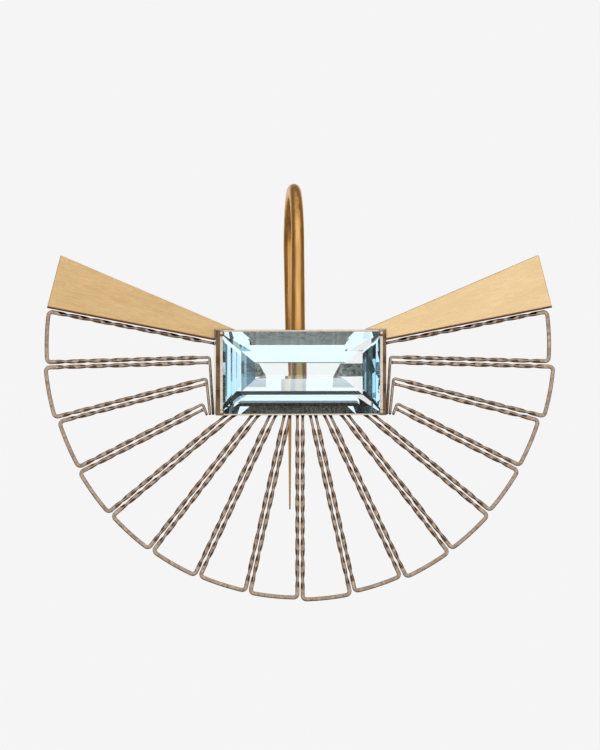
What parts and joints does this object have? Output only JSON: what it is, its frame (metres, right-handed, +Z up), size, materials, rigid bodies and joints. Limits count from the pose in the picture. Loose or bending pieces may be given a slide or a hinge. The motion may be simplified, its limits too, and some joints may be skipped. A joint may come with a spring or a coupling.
{
  "type": "fan earring",
  "caption": "Drop earring: a rectangular step cut pale blue stone in a white metal box collet, with a fan of twisted wire loops round it between two gold wedge plates, hung from a gold ear wire",
  "frame": {"origin": "underside of the hook's arch, on the ear wire's middle plane, where the earring hangs from the ear", "axes": "+X to the right across the fan as it is looked at from the front, its longest extent; +Y to the back, through the ear, its shortest extent, so the stone faces -Y; +Z up"},
  "size_m": [0.0376, 0.0135, 0.0306],
  "materials": {
    "pale_blue_stone": "polished, transparent pale aqua",
    "white_gold_setting": "polished, slightly warm white gold",
    "white_gold_wire": "satin, slightly warm white gold",
    "brushed_gold_left": "brushed lengthwise, yellow gold",
    "brushed_gold_right": "brushed lengthwise, yellow gold",
    "polished_gold": "polished, yellow gold"
  },
  "bodies": {
    "root": {"stone": "pale_blue_stone", "setting": "white_gold_setting", "gold_plate_left": "brushed_gold_left", "gold_plate_right": "brushed_gold_right", "ear_hook": "polished_gold", "fan_loop_01": "white_gold_wire", "fan_loop_02": "white_gold_wire", "fan_loop_03": "white_gold_wire", "fan_loop_04": "white_gold_wire", "fan_loop_05": "white_gold_wire", "fan_loop_06": "white_gold_wire", "fan_loop_07": "white_gold_wire", "fan_loop_08": "white_gold_wire", "fan_loop_09": "white_gold_wire", "fan_loop_10": "white_gold_wire", "fan_loop_11": "white_gold_wire", "fan_loop_12": "white_gold_wire", "fan_loop_13": "white_gold_wire", "fan_loop_14": "white_gold_wire", "fan_loop_15": "white_gold_wire", "fan_loop_16": "white_gold_wire"}
  },
  "joints": []
}
